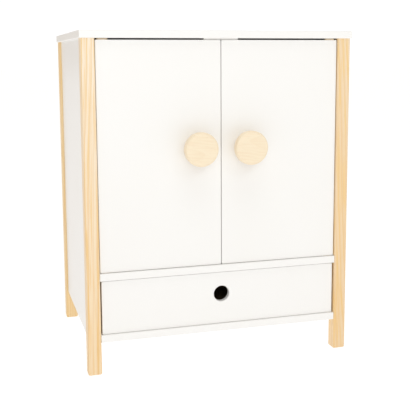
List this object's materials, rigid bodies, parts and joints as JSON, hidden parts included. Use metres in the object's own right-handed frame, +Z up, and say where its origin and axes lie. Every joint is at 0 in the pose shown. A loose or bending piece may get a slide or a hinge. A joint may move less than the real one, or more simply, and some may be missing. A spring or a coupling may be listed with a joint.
{
  "type": "doll's wardrobe",
  "caption": "Doll's wardrobe on square posts, with inset pivot-hung doors, round knobs, a clothes rail and a low drawer pulled by its finger hole.",
  "frame": {"origin": "on the floor, at the centre of the overall footprint: midway across, and midway between the knobs' front faces and the posts' backs", "axes": "+Z up; the doors and drawer face -Y; +X is to the right of someone facing the doors"},
  "size_m": [0.414, 0.328, 0.5],
  "materials": {
    "white_lacquer": "satin white lacquer on MDF",
    "pine": "clear satin lacquer on solid pine",
    "planed_pine": "planed, unfinished",
    "brown_hardboard": "plain, unpainted hardboard",
    "beech": "smooth turned dowel",
    "knob_wood": "clear matte lacquer on turned birch",
    "bright_steel": "bright drawn wire",
    "zinc_plate": "zinc plated",
    "tan_nylon": "moulded nylon, tan",
    "white_plastic": "moulded, satin",
    "magnet": "ground ferrite and pole plates"
  },
  "bodies": {
    "carcass": {"top_panel": "white_lacquer", "shelf": "white_lacquer", "base_panel": "white_lacquer", "side_panel_left": "white_lacquer", "side_panel_right": "white_lacquer", "back_panel": "brown_hardboard", "post_front_left": "pine", "post_front_right": "pine", "post_rear_left": "pine", "post_rear_right": "pine", "drawer_guide_left": "planed_pine", "drawer_guide_right": "planed_pine", "clothes_rail": "beech", "post_dowels": "beech", "shelf_dowels": "beech", "base_dowels": "beech", "side_panel_dowels": "beech", "back_nails": "bright_steel", "catch_plate": "white_plastic", "catch_housing": "white_plastic", "catch_magnets": "magnet", "catch_screws": "zinc_plate"},
    "drawer": {"drawer_front": "white_lacquer", "drawer_side_left": "planed_pine", "drawer_side_right": "planed_pine", "drawer_back": "planed_pine", "drawer_bottom": "brown_hardboard", "drawer_dowels": "beech", "drawer_nails": "bright_steel"},
    "door_left": {"door_left": "white_lacquer", "hinge_pins_left": "bright_steel", "pivot_pads_left": "tan_nylon", "knob_left": "knob_wood", "knob_screw_left": "zinc_plate", "strike_plate_left": "zinc_plate", "strike_screw_left": "zinc_plate"},
    "door_right": {"door_right": "white_lacquer", "hinge_pins_right": "bright_steel", "pivot_pads_right": "tan_nylon", "knob_right": "knob_wood", "knob_screw_right": "zinc_plate", "strike_plate_right": "zinc_plate", "strike_screw_right": "zinc_plate"}
  },
  "joints": [
    {"name": "door_left_hinge", "type": "hinge", "parent": "carcass", "child": "door_left", "pos_m": [-0.1736, -0.1275, 0.32], "axis": [0, 0, -1], "range_deg": [0, 120]},
    {"name": "door_right_hinge", "type": "hinge", "parent": "carcass", "child": "door_right", "pos_m": [0.1736, -0.1275, 0.32], "axis": [0, 0, 1], "range_deg": [0, 120]},
    {"name": "drawer_slide", "type": "slide", "parent": "carcass", "child": "drawer", "axis": [0, -1, 0], "range_m": [0, 0.18]}
  ]
}
